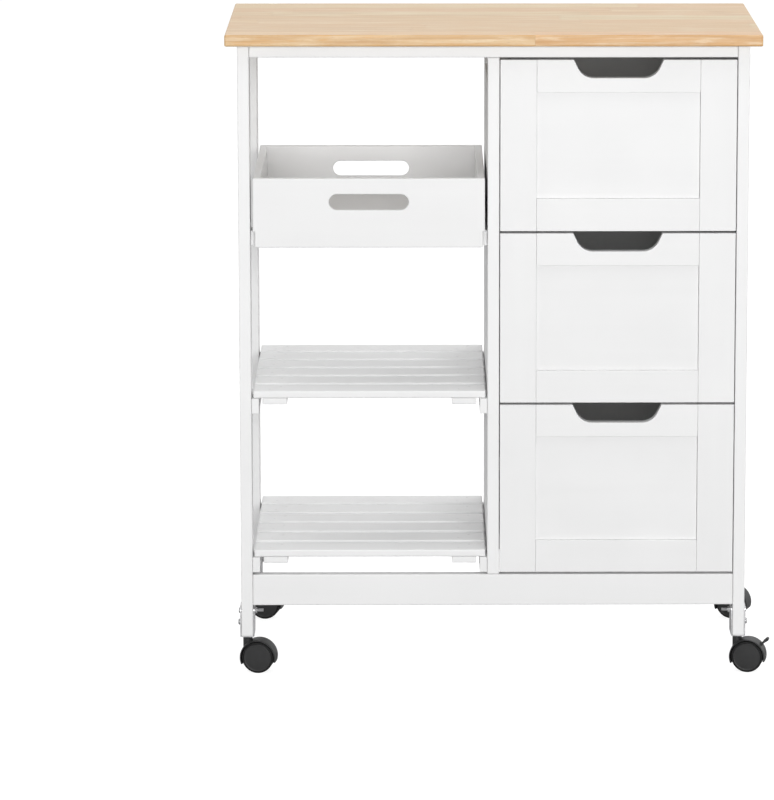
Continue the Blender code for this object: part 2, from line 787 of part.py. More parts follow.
def make_casters():
    """A bracket, stem, swivelling housing and wheelset under each leg, and two brake pedals."""
    bracket = bracket_mesh()
    stem = stem_mesh()
    wheels = wheelset_mesh()
    housings = {False: housing_mesh(False), True: housing_mesh(True)}
    pedal = pedal_mesh()
    for side, x_sign in SIDES:
        for end, y_sign in ENDS:
            name = f"{end}_{side}"
            foot = (x_sign * LEG_CENTRE_X, y_sign * LEG_CENTRE_Y, 0)
            add_object(f"{name}_caster_bracket", bracket, "zinc_steel", foot)
            add_object(f"{name}_caster_stem", stem, "stem_steel", foot)
            turn = -math.radians(CASTER_TURNS[name])
            swivel = add_empty(f"{name}_swivel", foot, ROOT, turn)
            braked = name in BRAKED
            add_object(
                f"{name}_caster_housing", housings[braked], "black_nylon", parent=swivel
            )
            axle = add_empty(f"{name}_axle", (TRAIL, 0, WHEEL_RADIUS), swivel)
            add_object(f"{name}_caster_wheels", wheels, "wheel_nylon", parent=axle)
            if braked:
                pivot = (
                    TRAIL + PEDAL_PIVOT * math.cos(PEDAL_ANGLE),
                    0,
                    WHEEL_RADIUS + PEDAL_PIVOT * math.sin(PEDAL_ANGLE),
                )
                add_object(
                    f"{name}_brake_pedal",
                    pedal,
                    "black_nylon",
                    pivot,
                    swivel,
                    (0, -PEDAL_ANGLE, 0),
                )


make_top()
make_legs()
make_rails()
make_divider_and_panels()
make_cleats()
make_tray()
make_shelves()
make_drawers()
make_casters()
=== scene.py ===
"""Looks of the kitchen island cart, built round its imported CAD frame.

Metres, +Z up, the drawer fronts face -Y. Every piece is made in place, in the frame's own
coordinates, and rides on a CAD body. Boards that are right as CAD keep their mesh and get a
material, and the casters, brackets, shelves and drawer fronts are replaced by finer pieces.
"""

import json
import math
import random

import bmesh
import bpy
from mathutils import Matrix, Vector


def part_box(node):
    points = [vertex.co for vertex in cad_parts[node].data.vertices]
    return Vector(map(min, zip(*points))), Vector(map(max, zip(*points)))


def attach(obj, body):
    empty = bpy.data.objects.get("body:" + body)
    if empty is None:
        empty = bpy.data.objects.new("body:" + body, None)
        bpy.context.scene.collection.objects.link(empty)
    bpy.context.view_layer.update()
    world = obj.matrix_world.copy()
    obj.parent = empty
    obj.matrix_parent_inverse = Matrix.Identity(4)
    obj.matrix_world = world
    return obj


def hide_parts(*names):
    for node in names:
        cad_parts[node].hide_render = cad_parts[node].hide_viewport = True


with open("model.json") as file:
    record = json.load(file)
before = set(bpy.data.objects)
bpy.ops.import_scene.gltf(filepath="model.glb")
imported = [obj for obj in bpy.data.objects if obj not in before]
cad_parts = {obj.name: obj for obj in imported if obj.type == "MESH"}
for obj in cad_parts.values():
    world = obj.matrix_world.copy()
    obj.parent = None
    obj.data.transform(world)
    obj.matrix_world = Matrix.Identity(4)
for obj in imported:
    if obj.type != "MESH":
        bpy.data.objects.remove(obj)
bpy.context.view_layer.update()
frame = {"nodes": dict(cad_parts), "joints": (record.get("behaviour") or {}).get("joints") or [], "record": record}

JOINTS = {joint["name"]: joint for joint in frame["joints"]}
CORNERS = ("front_left", "front_right", "rear_left", "rear_right")
DRAWERS = ("bottom_drawer", "middle_drawer", "top_drawer")
SIDES = (("left", -1), ("right", 1))
AXES = "xyz"

# The camera, as found from the photographed corners of the cart
CAMERA_PLACE = (-0.1022, -6.2, 1.5026)
CAMERA_PITCH = 0.1797
CAMERA_YAW = 0.0141
CAMERA_ROLL = 0.0012
CAMERA_LENS = 218.9
CAMERA_SHIFT = (-0.125, -0.050)

# The light: what the floor gives to the rest and to the camera, the room, and the lamps, each
# with its place, aim, size and power
WHITE = (1, 1, 1, 1)
FLOOR_GLOW = (0.16, 0.875)
ROOM_LIGHT = 0.17
BACKDROP_LIGHT = 0.95
CEILING_LIGHT = 0.35
LAMPS = (
    ("key_softbox", (0.2, -5.8, 1.5), (0, 0, 0.45), (3.6, 1.8), 191),
    ("left_softbox", (-3.9, -1.0, 1.5), (0, 0, 0.45), (2.0, 2.0), 22),
    ("right_softbox", (4.2, 0.2, 0.75), (0, 0, 0.45), (1.6, 1.6), 38),
    ("top_softbox", (0.3, -0.5, 3.2), (0, 0, 0.8), (2.5, 2.5), 30),
    ("rear_softbox", (2.6, 4.2, 2.2), (0, 0, 0.45), (2.5, 2.5), 70),
)

# Wooden top
STAVE = 0.046
STAVE_BLOCK = 0.41
FINGER_LENGTH = 0.0045
FINGER_PITCH = 0.0042
STAVE_START = 0.009  # how far the first stave reaches in front of the top
BLOCK_START = 0.033
RING_PITCH = 0.0085

# Paint
PAINT_ROUGHNESS = 0.40
PAINT_WEAR = 0.5

# Between pieces that meet, and how far a cutting solid stands out of what it cuts
LAP = 0.0001
CLEAR = 0.001

# Drawer fronts, as in the CAD
STILE = 0.044
STILE_LIP = 0.0016  # how far a stile reaches over the gap beside the front
DRAWER_RAIL = 0.041
FRONT_ROUND = 0.0004
JOINT_GAP = 0.00008  # on each side of a joint between stile and rail
PANEL_RECESS = 0.004
PANEL_THICK = 0.006
PANEL_ROUND = 0.0003
GROOVE_BESIDE = 0.0005  # the panel's groove beside the right stile
GROOVE_OVER = 0.0002  # and over the lower rail
GROOVE_DEPTH = 0.0025
GROOVE_ROUND = 0.00005
GRIP_WIDTH = 0.111
GRIP_DEPTH = 0.023
GRIP_SLOPE = math.radians(68)
GRIP_RADIUS = 0.022
GRIP_LIP = 0.0016

# Shelves, as in the CAD
SLAT_COUNT = 6
SLAT_WIDTH = 0.044
SLAT_THICK = 0.0093
SLAT_ROUND = 0.0016
BATTEN_WIDTH = 0.031
BATTEN_INSET = 0.0115
BATTEN_SHORT = 0.0008
BATTEN_ROUND = 0.0010
NAIL_SPOTS = ((0.28, 0.30), (0.72, 0.70))  # shares of the batten's and of the slat's width

# Heads of the fasteners: radius and height
SLAT_NAIL = (0.0016, 0.00022)
BACK_NAIL = (0.0021, 0.0005)
CLEAT_SCREW = (0.0032, 0.0007)
BRACKET_BOLT = (0.0039, 0.0024)
HEAD_DOME = ((1.0, -0.3), (1.0, 0.35), (0.93, 0.68), (0.80, 0.90), (0.66, 1.0))  # shares of them
HEX_SHARE = 0.48
CROSS_LENGTH = 0.62
CROSS_WIDTH = 0.17
RECESS_FLOOR = 0.15
CLEAT_SCREW_INSET = 0.022
BACK_NAIL_INSET = 0.0055

# Casters, as in the CAD, each in its own frame: kingpin on Z, axle along Y, wheels towards +X
WHEEL_RADIUS = 0.020
WHEEL_INNER = 0.0036
WHEEL_OUTER = 0.0116
TREAD_FROM = 0.0180
AXLE_RADIUS = 0.0020
AXLE_HOLE = AXLE_RADIUS + 0.0001
AXLE_BEVEL = 0.0003
HOOD_INNER = 0.0213
HOOD_OUTER = 0.0229
HOOD_HALF = 0.0120
HOOD_FIRST = math.radians(-16)
HOOD_LAST = math.radians(204)
HOOD_TIP = 0.0035
HOOD_CROWN = 0.00025
WEB_HALF = 0.0025
WEB_FILLET = 0.0014
NECK_RADIUS = 0.0060
NECK_TOP = 0.0467
HUB = (0.0046, 0.0032)  # its radius and half its length
BORE_RADIUS = 0.0038
BORE_FLOOR = 0.0390
PEDAL_WIDTH = 0.0080
PEDAL_ROUND = 0.0004
PLATE = 0.0015
PLATE_BEND = PLATE + 0.0002
PLATE_CORNER = 0.006
STEM_HOLE = 0.0043
BOLTS = ((0.0775, 0.0095), (0.0670, -0.0095))  # height, and offset along the leg's depth

# The nut and the bolt's end
WASHER_RADIUS = 0.0048
THREAD_RADIUS = 0.0020
THREAD_CORE = 0.0017
THREAD_PITCH = 0.0008


# ---------------------------------------------------------------- node materials


class Graph:
    """A material's node tree, with one short call for each kind of step."""

    def __init__(self, name):
        self.material = bpy.data.materials.new(name)
        self.material.use_nodes = True
        self.tree = self.material.node_tree
        self.shader = self.tree.nodes["Principled BSDF"]

    def feed(self, socket, value):
        if isinstance(value, bpy.types.NodeSocket):
            self.tree.links.new(value, socket)
        elif socket.type == "RGBA" and len(value) == 3:
            socket.default_value = (*value, 1.0)
        else:
            socket.default_value = value

    def add(self, kind, *values, **settings):
        """A node of this kind with these settings, its inputs fed in order."""
        node = self.tree.nodes.new("ShaderNode" + kind)
        for name, value in settings.items():
            setattr(node, name, value)
        for socket, value in zip(node.inputs, values):
            self.feed(socket, value)
        return node

    def set(self, **values):
        """Feeds the Principled shader's inputs: base_color is its Base Color."""
        for name, value in values.items():
            label = name.replace("_", " ").title().replace("Ior", "IOR")
            self.feed(self.shader.inputs[label], value)

    def place(self, stretch=(1, 1, 1)):
        """The point on the piece, in metres, scaled by stretch."""
        point = self.add("TexCoord").outputs["Object"]
        return self.add("VectorMath", point, stretch, operation="MULTIPLY").outputs[0]

    def split(self, vector):
        return self.add("SeparateXYZ", vector).outputs[:]

    def join(self, x, y, z):
        return self.add("CombineXYZ", x, y, z).outputs[0]

    def math(self, operation, *values):
        return self.add("Math", *values, operation=operation).outputs[0]

    def noise(self, vector, scale, detail=2.0, roughness=0.5):
        node = self.add("TexNoise")
        self.feed(node.inputs["Vector"], vector)
        self.feed(node.inputs["Scale"], scale)
        self.feed(node.inputs["Detail"], detail)
        self.feed(node.inputs["Roughness"], roughness)
        return node.outputs["Fac"]

    def white(self, vector):
        """Three even random values for each whole-number vector."""
        node = self.add("TexWhiteNoise", vector, noise_dimensions="3D")
        return self.add("SeparateColor", node.outputs["Color"]).outputs[:]

    def remap(self, value, low, high, to_low=0.0, to_high=1.0):
        node = self.add("MapRange", value, low, high, to_low, to_high, clamp=True)
        return node.outputs[0]

    def blend(self, factor, first, second, kind="MIX"):
        node = self.add("Mix", data_type="RGBA", blend_type=kind)
        for index, value in ((0, factor), (6, first), (7, second)):
            self.feed(node.inputs[index], value)
        return node.outputs[2]

    def scaled(self, colour, amount):
        """The colour times amount."""
        node = self.add("VectorMath", colour, operation="SCALE")
        self.feed(node.inputs["Scale"], amount)
        return node.outputs[0]

    def tone(self):
        """The piece's own tone, from -1 to 1, kept on the object."""
        node = self.add("Attribute", attribute_type="OBJECT", attribute_name="tone")
        return node.outputs["Fac"]

    def rounded(self, radius):
        """(the normal with edges rounded over radius, how near an edge is from 0 to 1)"""
        bevel = self.add("Bevel", radius, samples=6).outputs[0]
        flat = self.add("NewGeometry").outputs["Normal"]
        node = self.add("VectorMath", bevel, flat, operation="DOT_PRODUCT")
        return bevel, self.remap(node.outputs["Value"], 0.995, 0.86)

    def bump(self, height, strength, distance, normal):
        node = self.add("Bump")
        self.feed(node.inputs["Strength"], strength)
        self.feed(node.inputs["Distance"], distance)
        self.feed(node.inputs["Height"], height)
        self.feed(node.inputs["Normal"], normal)
        return node.outputs[0]


def rubberwood():
    """A panel glued up from finger-jointed staves along X, with satin lacquer."""
    g = Graph("rubberwood_lacquered")
    low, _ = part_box("tabletop")
    x, y, z = g.split(g.place())
    across = g.math("DIVIDE", g.math("SUBTRACT", y, low.y - STAVE_START), STAVE)
    row = g.math("FLOOR", across)
    row_random = g.white(g.join(row, 3.0, 8.0))
    zigzag = g.math("PINGPONG", y, FINGER_PITCH / 2)
    zigzag = g.math("MULTIPLY", zigzag, 2 * FINGER_LENGTH / FINGER_PITCH)
    along = g.math("DIVIDE", g.math("ADD", x, zigzag), STAVE_BLOCK)
    shift = g.math("MULTIPLY", g.math("ADD", row_random[0], -BLOCK_START), 7.0)
    along = g.math("ADD", along, shift)
    block = g.math("FLOOR", along)
    own = g.white(g.join(row, block, 5.0))

    # Growth rings round a pith that lies somewhere below or beside each stave
    wander = g.noise(g.join(g.math("MULTIPLY", x, 2.2), g.math("MULTIPLY", y, 9.0), z), 1.0, 3.0)
    ring_y = g.math("ADD", y, g.remap(own[1], 0, 1, -0.09, 0.09))
    ring_z = g.math("SUBTRACT", z, g.remap(own[2], 0, 1, 0.55, 0.74))
    radius = g.math("ADD", g.math("POWER", ring_y, 2.0), g.math("POWER", ring_z, 2.0))
    radius = g.math("SQRT", radius)
    radius = g.math("ADD", radius, g.remap(wander, 0.2, 0.8, -0.016, 0.016))
    rings = g.math("SINE", g.math("MULTIPLY", radius, math.tau / RING_PITCH))
    rings = g.remap(g.math("POWER", g.remap(rings, -1, 1), 2.2), 0, 1)

    seed = g.math("MULTIPLY", own[0], 3.0)
    streaks = g.noise(
        g.join(g.math("MULTIPLY", x, 5.0), g.math("ADD", g.math("MULTIPLY", y, 330.0), seed),
               g.math("MULTIPLY", z, 330.0)), 1.0, 4.0, 0.62)
    clouds = g.noise(
        g.join(g.math("ADD", g.math("MULTIPLY", x, 3.2), seed), g.math("MULTIPLY", y, 26.0),
               g.math("MULTIPLY", z, 40.0)), 1.0, 2.0)
    pores = g.noise(
        g.join(g.math("MULTIPLY", x, 150.0), g.math("MULTIPLY", y, 1900.0),
               g.math("MULTIPLY", z, 1900.0)), 1.0, 1.0)
    pores = g.remap(pores, 0.66, 0.76)

    flame = g.noise(
        g.join(g.math("ADD", g.math("MULTIPLY", x, 19.0), seed),
               g.math("ADD", g.math("MULTIPLY", y, 140.0), g.math("MULTIPLY", wander, 7.0)),
               g.math("MULTIPLY", z, 190.0)), 1.0, 3.0, 0.6)

    # The front stave is warmer and more strongly figured than the others
    front = g.math("LESS_THAN", across, 1.0)
    figure = g.remap(front, 0, 1, 0.66, 1.0)

    def figured(value, low, high, most):
        return g.math("MULTIPLY", g.remap(value, low, high, 0.0, most), figure)

    cream = g.blend(g.remap(own[0], 0.15, 0.85), (0.690, 0.405, 0.180), (0.715, 0.530, 0.290))
    body = g.blend(g.remap(own[1], 0.60, 0.90, 0.0, 0.60), cream, (0.690, 0.365, 0.165))
    body = g.blend(figured(flame, 0.51, 0.64, 0.66), body, (0.690, 0.365, 0.110))
    body = g.blend(figured(flame, 0.47, 0.35, 0.60), body, (0.840, 0.665, 0.435))
    body = g.blend(g.remap(clouds, 0.40, 0.70, 0.0, 0.40), body, (0.630, 0.350, 0.115))
    body = g.blend(g.math("MULTIPLY", rings, 0.40), body, (0.545, 0.285, 0.090))
    body = g.blend(figured(streaks, 0.52, 0.68, 0.50), body, (0.530, 0.270, 0.085))
    body = g.blend(figured(streaks, 0.46, 0.32, 0.42), body, (0.835, 0.665, 0.440))
    other = g.blend(row_random[1], (0.965, 1.0, 1.010), (0.885, 1.0, 1.075))
    body = g.blend(1.0, body, g.blend(front, other, (1.0, 1.0, 1.0)), kind="MULTIPLY")
    body = g.blend(g.math("MULTIPLY", pores, 0.38), body, (0.330, 0.180, 0.080))
    seam_y = g.math("PINGPONG", across, 0.5)
    seam_x = g.math("PINGPONG", along, 0.5)
    seam = g.math("MAXIMUM", g.remap(seam_y, 0.010, 0.004), g.remap(seam_x, 0.0012, 0.0005))
    body = g.blend(g.math("MULTIPLY", seam, 0.30), body, (0.360, 0.200, 0.090))
    normal, edge = g.rounded(0.0012)
    body = g.blend(g.math("MULTIPLY", edge, 0.12), body, (0.840, 0.640, 0.420))
    # The underside is left without lacquer, which makes it paler
    turned = g.split(g.add("NewGeometry").outputs["Normal"])[2]
    body = g.blend(g.remap(turned, -0.5, -0.9, 0.0, 0.70), body, (0.800, 0.755, 0.680))
    g.set(base_color=body)
    shine = g.math("ADD", streaks, g.math("MULTIPLY", pores, 0.4))
    g.set(roughness=g.remap(shine, 0.2, 1.2, 0.34, 0.54))
    grain = g.math("SUBTRACT", g.math("MULTIPLY", streaks, 0.5), g.math("MAXIMUM", pores, seam))
    g.set(normal=g.bump(grain, 0.22, 0.00025, normal))
    g.set(coat_weight=0.34, coat_roughness=0.30)
    return g.material


def paint(name, colour, axis, rounding):
    """Satin paint on a board with its grain along axis, 0 to 2, rubbed a little at its edges."""
    g = Graph(name)
    stretch = [46.0, 46.0, 46.0]
    stretch[axis] = 2.5
    grain = g.noise(g.place(stretch), 1.0, 4.0, 0.6)
    fine = [620.0, 620.0, 620.0]
    fine[axis] = 26.0
    brush = g.noise(g.place(fine), 1.0, 2.0)
    stipple = g.noise(g.place(), 780.0, 2.0, 0.6)
    cloud = g.noise(g.place(), 9.0, 2.0)
    normal, edge = g.rounded(rounding)
    shade = g.remap(cloud, 0.3, 0.7, 0.985, 1.012)
    shade = g.math("ADD", shade, g.remap(grain, 0.3, 0.7, -0.007, 0.007))
    shade = g.math("ADD", shade, g.math("MULTIPLY", g.tone(), 0.010))
    body = g.scaled(colour, shade)
    rubbed = g.math("MULTIPLY", edge, g.remap(g.noise(g.place(), 60.0, 3.0), 0.42, 0.68))
    body = g.blend(g.math("MULTIPLY", rubbed, PAINT_WEAR * 0.22), body, (0.52, 0.47, 0.41))
    g.set(base_color=body)
    rough = g.remap(stipple, 0.3, 0.7, PAINT_ROUGHNESS - 0.04, PAINT_ROUGHNESS + 0.06)
    g.set(roughness=rough)
    height = g.math("ADD", g.math("MULTIPLY", brush, 0.4), grain)
    height = g.math("ADD", g.math("MULTIPLY", stipple, 0.35), height)
    g.set(normal=g.bump(height, 0.16, 0.00022, normal))
    return g.material


def foil():
    """The matt foil on the drawer boxes and the back panel."""
    g = Graph("drawer_foil")
    cloud = g.noise(g.place(), 14.0, 3.0)
    weave = g.noise(g.place((40.0, 900.0, 900.0)), 1.0, 2.0)
    normal, edge = g.rounded(0.0006)
    body = g.scaled((0.66, 0.66, 0.656), g.remap(cloud, 0.3, 0.7, 0.985, 1.01))
    body = g.blend(g.math("MULTIPLY", edge, 0.25), body, (0.58, 0.52, 0.45))
    g.set(base_color=body, roughness=g.remap(weave, 0.3, 0.7, 0.52, 0.64))
    g.set(normal=g.bump(weave, 0.12, 0.0001, normal))
    return g.material


def steel(name, colour, roughness, spangle):
    """Zinc-plated steel, cloudy and faintly brushed."""
    g = Graph(name)
    clouds = g.noise(g.place(), spangle, 3.0)
    brush = g.noise(g.place((3000.0, 3000.0, 90.0)), 1.0, 2.0)
    normal, edge = g.rounded(0.0003)
    body = g.scaled(colour, g.remap(clouds, 0.3, 0.7, 0.84, 1.06))
    body = g.blend(g.math("MULTIPLY", edge, 0.35), body, (0.86, 0.86, 0.87))
    g.set(base_color=body, metallic=1.0)
    shine = g.math("ADD", clouds, brush)
    g.set(roughness=g.remap(shine, 0.6, 1.4, roughness - 0.08, roughness + 0.12))
    g.set(normal=g.bump(brush, 0.10, 0.00004, normal))
    return g.material


def moulded(name, colour, roughness, texture=0.10, highlight_reach=0.0004):
    """Moulded plastic or rubber, finely spark-eroded; its rounded edges are painted lighter, a painted highlight.
    """
    g = Graph(name)
    spark = g.noise(g.place(), 2600.0, 2.0, 0.7)
    cloud = g.noise(g.place(), 120.0, 3.0)
    normal, edge = g.rounded(highlight_reach)
    body = g.scaled(colour, g.remap(cloud, 0.3, 0.7, 0.86, 1.16))
    # Painted highlight: the edges within the rounding radius are lightened towards 4.5 times the colour
    body = g.blend(g.math("MULTIPLY", edge, 0.45), body, tuple(4.5 * part for part in colour))
    g.set(base_color=body)
    shine = g.math("ADD", spark, cloud)
    g.set(roughness=g.remap(shine, 0.7, 1.3, roughness - 0.06, roughness + 0.08))
    g.set(normal=g.bump(spark, texture, 0.00006, normal))
    return g.material


# Each paint's colour, and how far its edges look rounded
PAINTS = {
    "frame_paint": ((0.875, 0.875, 0.875), 0.0010),
    "drawer_paint": ((0.860, 0.860, 0.860), 0.0005),
    "tray_paint": ((0.850, 0.850, 0.850), 0.0010),
    "shelf_paint": ((0.870, 0.870, 0.870), 0.0010),
}
MATERIALS = {
    "rubberwood": rubberwood(),
    "drawer_interior": foil(),
    "zinc_steel": steel("zinc_plate", (0.66, 0.66, 0.67), 0.36, 260.0),
    "stem_steel": steel("bright_pin", (0.58, 0.58, 0.59), 0.26, 420.0),
    "black_nylon": moulded("black_nylon", (0.020, 0.020, 0.021), 0.42),
    # The disc's wider rounding widens its painted highlight, standing in for the lit rim of the disc
    "wheel_nylon": moulded("wheel_disc_nylon", (0.0165, 0.0165, 0.017), 0.46, highlight_reach=0.0011),
    "tread_rubber": moulded("tread_rubber", (0.007, 0.007, 0.007), 0.72, 0.2),
    "nail_paint": paint("nail_paint", (0.80, 0.80, 0.80), 0, 0.0010),
}
for paint_name, (paint_colour, paint_rounding) in PAINTS.items():
    for axis in range(3):
        board_paint = f"{paint_name}_{AXES[axis]}"
        MATERIALS[board_paint] = paint(board_paint, paint_colour, axis, paint_rounding)


# ---------------------------------------------------------------- mesh building


def skin(rings):
    """A bmesh through rings of equal counts of points, capped at both ends."""
    bm = bmesh.new()
    loops = [[bm.verts.new(point) for point in ring] for ring in rings]
    count = len(loops[0])
    for first, second in zip(loops, loops[1:]):
        for i in range(count):
            j = (i + 1) % count
            bm.faces.new((first[i], first[j], second[j], second[i]))
    bm.faces.new(loops[0])
    bm.faces.new(loops[-1])
    bmesh.ops.recalc_face_normals(bm, faces=bm.faces)
    return bm


def turns(steps):
    """The angles of even steps round a circle."""
    return [math.tau * i / steps for i in range(steps)]


def lathe(profile, steps, axis="Z"):
    """The (radius, height) profile turned about Z, or about Y with height along Y."""
    rings = []
    for radius, height in profile:
        ring = []
        for turn in turns(steps):
            across = radius * math.cos(turn)
            over = radius * math.sin(turn)
            ring.append((across, over, height) if axis == "Z" else (across, height, over))
        rings.append(ring)
    return skin(rings)


def round_edges(bm, edges, bevel, segments):
    bmesh.ops.bevel(
        bm, geom=edges, offset=bevel, segments=segments, profile=0.5, affect="EDGES"
    )


def block(low, high, bevel, segments=3):
    """A box with rounded edges, filling low to high."""
    bm = bmesh.new()
    low = Vector(low)
    size = Vector(high) - low
    bmesh.ops.create_cube(bm, size=1.0)
    for vert in bm.verts:
        vert.co = low + Vector((vert.co[k] + 0.5) * size[k] for k in range(3))
    round_edges(bm, bm.edges[:], bevel, segments)
    return bm


def prism(outline, front, back, bevel):
    """The (x, z) outline from y = front to y = back, with its sharp edges rounded."""
    bm = skin([[(x, y, z) for x, z in outline] for y in (front, back)])
    sharp = [edge for edge in bm.edges if edge.calc_face_angle(0) > math.radians(40)]
    round_edges(bm, sharp, bevel, 2)
    return bm


def arc(centre, radius, first, last, steps):
    """Points on a circle from the angle first to the angle last."""
    angles = [first + (last - first) * i / steps for i in range(steps + 1)]
    return [(centre[0] + radius * math.cos(a), centre[1] + radius * math.sin(a)) for a in angles]


def merged(parts):
    """One bmesh of them all."""
    whole = bmesh.new()
    for part in parts:
        mesh = bpy.data.meshes.new("part")
        part.to_mesh(mesh)
        part.free()
        whole.from_mesh(mesh)
        bpy.data.meshes.remove(mesh)
    return whole


def to_mesh(bm, name, place=None, sharp_over=32):
    """The bmesh as a smooth-shaded mesh with sharp edges kept, moved by place."""
    mesh = bpy.data.meshes.new(name)
    bm.to_mesh(mesh)
    bm.free()
    if place:
        mesh.transform(place)
    mesh.shade_smooth()
    mesh.set_sharp_from_angle(angle=math.radians(sharp_over))
    return mesh


def linked(name, data):
    """A new object in the scene."""
    obj = bpy.data.objects.new(name, data)
    bpy.context.scene.collection.objects.link(obj)
    return obj


def carved(solid, *steps):
    """The solid after Boolean steps: ("UNION", bmesh) or ("DIFFERENCE", bmesh)."""
    base = linked("base", to_mesh(solid, "base"))
    helpers = []
    for operation, other in steps:
        helper = linked("helper", to_mesh(other, "helper"))
        boolean = base.modifiers.new("cut", "BOOLEAN")
        boolean.operation = operation
        boolean.object = helper
        helpers.append(helper)
    graph = bpy.context.evaluated_depsgraph_get()
    mesh = bpy.data.meshes.new_from_object(base.evaluated_get(graph))
    for used in (base, *helpers):
        used_mesh = used.data
        bpy.data.objects.remove(used)
        bpy.data.meshes.remove(used_mesh)
    result = bmesh.new()
    result.from_mesh(mesh)
    bpy.data.meshes.remove(mesh)
    return result


TONES = random.Random(29)


def piece(name, bm, body, finishes, replaced=(), place=None, sharp_over=32):
    """The bmesh as a piece that rides on body; each finish becomes one material slot."""
    mesh = to_mesh(bm, name, place, sharp_over)
    obj = linked(name, mesh)
    for finish in [finishes] if isinstance(finishes, str) else finishes:
        mesh.materials.append(MATERIALS[finish])
    keep_flat = obj.modifiers.new("flat faces", "WEIGHTED_NORMAL")
    keep_flat.keep_sharp = True
    obj["tone"] = TONES.uniform(-1, 1)
    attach(obj, body)
    if replaced:
        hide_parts(*replaced)


def hexagon(inner, turn):
    """How far a hexagon with this inner radius reaches in the direction turn."""
    return inner / math.cos((turn + math.pi / 6) % (math.pi / 3) - math.pi / 6)


def cross(radius, turn):
    """How far the cross recess of a head with this radius reaches in the direction turn."""
    across, over = abs(math.cos(turn)), abs(math.sin(turn))
    long, wide = CROSS_LENGTH * radius, CROSS_WIDTH * radius
    one = min(long / max(across, 1e-6), wide / max(over, 1e-6))
    other = min(long / max(over, 1e-6), wide / max(across, 1e-6))
    return max(one, other)


def fastener_head(place, radius, height, drive="plain", steps=24):
    """A domed head on the plane Z = 0 of place, with a plain, hex or cross recess."""
    outlines = [([share * radius] * steps, level) for share, level in HEAD_DOME]
    if drive == "hex":
        recess = [hexagon(HEX_SHARE * radius, turn) for turn in turns(steps)]
    elif drive == "cross":
        recess = [cross(radius, turn) for turn in turns(steps)]
    if drive != "plain":
        outlines += [(recess, 1.0), (recess, RECESS_FLOOR)]
    bm = skin([
        [(r * math.cos(a), r * math.sin(a), level * height) for r, a in zip(reach, turns(steps))]
        for reach, level in outlines
    ])
    bmesh.ops.transform(bm, matrix=place, verts=bm.verts)
    return bm


def facing(point, direction):
    """The matrix that takes Z to the direction and the origin to the point."""
    turn = Vector(direction).to_track_quat("Z", "Y").to_matrix().to_4x4()
    return Matrix.Translation(point) @ turn


# ---------------------------------------------------------------- shelves


def make_shelf(name):
    """Six slats nailed down to two battens."""
    node = f"{name}_shelf"
    low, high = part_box(node)
    pitch = (high.y - low.y - SLAT_WIDTH) / (SLAT_COUNT - 1)
    top = high.z
    under = top - SLAT_THICK + LAP
    batten_x = (low.x + BATTEN_INSET, high.x - BATTEN_INSET - BATTEN_WIDTH)
    nails = []
    for i in range(SLAT_COUNT):
        y = low.y + i * pitch
        slat = block((low.x, y, under), (high.x, y + SLAT_WIDTH, top), SLAT_ROUND)
        piece(f"{node}_slat_{i + 1}", slat, "cart", "shelf_paint_x", (node,))
        for x in batten_x:
            for across, along in NAIL_SPOTS:
                spot = (x + BATTEN_WIDTH * across, y + SLAT_WIDTH * along, top)
                nails.append(fastener_head(facing(spot, (0, 0, 1)), *SLAT_NAIL, steps=12))
    piece(f"{node}_nails", merged(nails), "cart", "nail_paint", sharp_over=60)
    for (side, _), x in zip(SIDES, batten_x):
        start = (x, low.y + BATTEN_SHORT, low.z)
        end = (x + BATTEN_WIDTH, high.y - BATTEN_SHORT, under - LAP)
        batten = block(start, end, BATTEN_ROUND)
        piece(f"{node}_{side}_batten", batten, "cart", "shelf_paint_y", (node,))


# ---------------------------------------------------------------- drawer fronts


def grip_points(top, middle):
    """The finger cut-out in a top edge at the height top, from left to right."""
    half = GRIP_WIDTH / 2
    run = GRIP_DEPTH / math.tan(GRIP_SLOPE)
    flat = half - run - GRIP_RADIUS * math.tan(GRIP_SLOPE / 2)
    down = -math.pi / 2
    bend = arc((flat, GRIP_RADIUS - GRIP_DEPTH), GRIP_RADIUS, down, GRIP_SLOPE + down, 14)
    lip = arc((half + GRIP_LIP, -GRIP_LIP), GRIP_LIP, math.pi, math.pi / 2, 3)
    right = bend + lip
    left = [(-x, z) for x, z in reversed(right)]
    return [(middle + x, top + z) for x, z in left + right]


